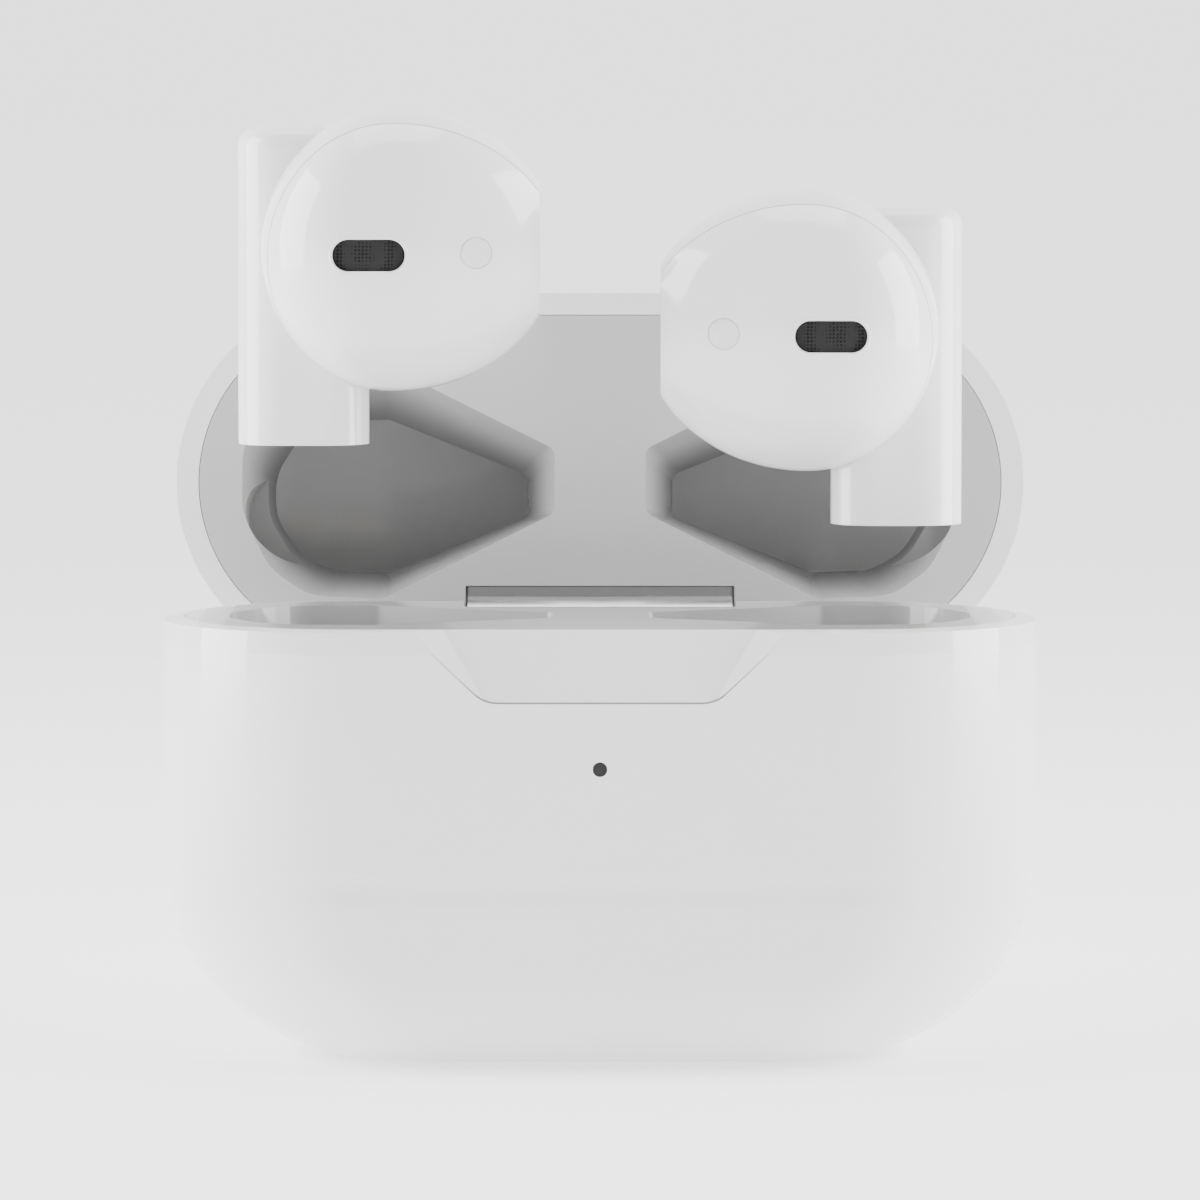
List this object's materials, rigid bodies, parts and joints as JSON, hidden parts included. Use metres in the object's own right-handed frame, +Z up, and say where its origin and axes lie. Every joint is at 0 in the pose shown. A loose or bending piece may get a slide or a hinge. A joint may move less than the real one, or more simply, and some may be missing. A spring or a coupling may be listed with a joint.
{
  "type": "wireless earbuds case",
  "caption": "Pocket charging case with a hinged lid, steel hinge leaf, thumb notch and status light, with earbuds lifted above their sockets.",
  "frame": {"origin": "centre of the flat foot, in the middle of the charging port's mouth", "axes": "+Z up, -Y towards the front with the thumb notch, +X along the case's width"},
  "size_m": [0.058, 0.0449, 0.0625],
  "materials": {
    "case_shell": "high gloss white",
    "case_liner": "satin light grey white",
    "bud_shell": "high gloss white",
    "dark_mesh": "fine black mesh",
    "hinge_steel": "polished and brushed along its length",
    "pin_steel": "ground",
    "magnet_nickel": "nickel plated",
    "contact_gold": "gold plated",
    "cell_wrap": "foil pouch",
    "circuit_board": "solder mask",
    "moulded_black": "moulded",
    "light_lens": "smoked",
    "light_package": "moulded",
    "sensor_lens": "white, faintly greyer than the shell",
    "driver_can": "drawn can"
  },
  "bodies": {
    "case_base": {"base_shell": "case_shell", "base_tray": "case_liner", "battery": "cell_wrap", "main_board": "circuit_board", "usb_c_shell": "hinge_steel", "usb_c_tongue": "moulded_black", "status_light_lens": "light_lens", "status_light": "light_package", "sensor_board": "circuit_board", "lid_sensor": "moulded_black", "latch_magnet": "magnet_nickel", "seat_magnets": "magnet_nickel", "hinge_base_leaf": "hinge_steel", "hinge_screws": "pin_steel", "hinge_pin": "pin_steel", "left_contact_block": "moulded_black", "right_contact_block": "moulded_black"},
    "lid": {"lid_shell": "case_shell", "lid_liner": "case_liner", "hinge_lid_leaf": "hinge_steel", "lid_sense_magnet": "magnet_nickel"},
    "keeper": {"lid_keeper_rod": "pin_steel"},
    "left_bud": {"left_bud_rear_shell": "bud_shell", "left_bud_face_shell": "bud_shell", "left_bud_speaker_mesh": "dark_mesh", "left_bud_sensor_window": "sensor_lens", "left_bud_nozzle_mesh": "dark_mesh", "left_bud_speaker_driver": "driver_can", "left_bud_coin_cell": "pin_steel", "left_bud_stem_board": "circuit_board", "left_bud_stem_cap": "bud_shell", "left_bud_charge_pads": "contact_gold"},
    "right_bud": {"right_bud_rear_shell": "bud_shell", "right_bud_face_shell": "bud_shell", "right_bud_speaker_mesh": "dark_mesh", "right_bud_sensor_window": "sensor_lens", "right_bud_nozzle_mesh": "dark_mesh", "right_bud_speaker_driver": "driver_can", "right_bud_coin_cell": "pin_steel", "right_bud_stem_board": "circuit_board", "right_bud_stem_cap": "bud_shell", "right_bud_charge_pads": "contact_gold"},
    "left_pins": {"left_contact_pins": "contact_gold"},
    "right_pins": {"right_contact_pins": "contact_gold"}
  },
  "joints": [
    {"name": "lid_hinge", "type": "hinge", "parent": "case_base", "child": "lid", "pos_m": [0, 0.012, 0.0256], "axis": [1, 0, 0], "range_deg": [0, 100]},
    {"name": "keeper_turn", "type": "hinge", "parent": "lid", "child": "keeper", "pos_m": [0, 0.02204, 0.04566], "axis": [1, 0, 0], "range_deg": [-100, 0]},
    {"name": "left_bud_lift", "type": "slide", "parent": "keeper", "child": "left_bud", "axis": [0, 0, 1], "range_m": [-0.0256, 0]},
    {"name": "right_bud_lift", "type": "slide", "parent": "keeper", "child": "right_bud", "axis": [0, 0, 1], "range_m": [-0.0203, 0]},
    {"name": "left_pin_travel", "type": "slide", "parent": "case_base", "child": "left_pins", "axis": [0, 0, 1], "range_m": [-0.0006, 0], "stiffness_N_per_m": 100},
    {"name": "right_pin_travel", "type": "slide", "parent": "case_base", "child": "right_pins", "axis": [0, 0, 1], "range_m": [-0.0006, 0], "stiffness_N_per_m": 100}
  ],
  "couplings": [
    {"joint": "keeper_turn", "follows": "lid_hinge", "ratio": -1}
  ]
}
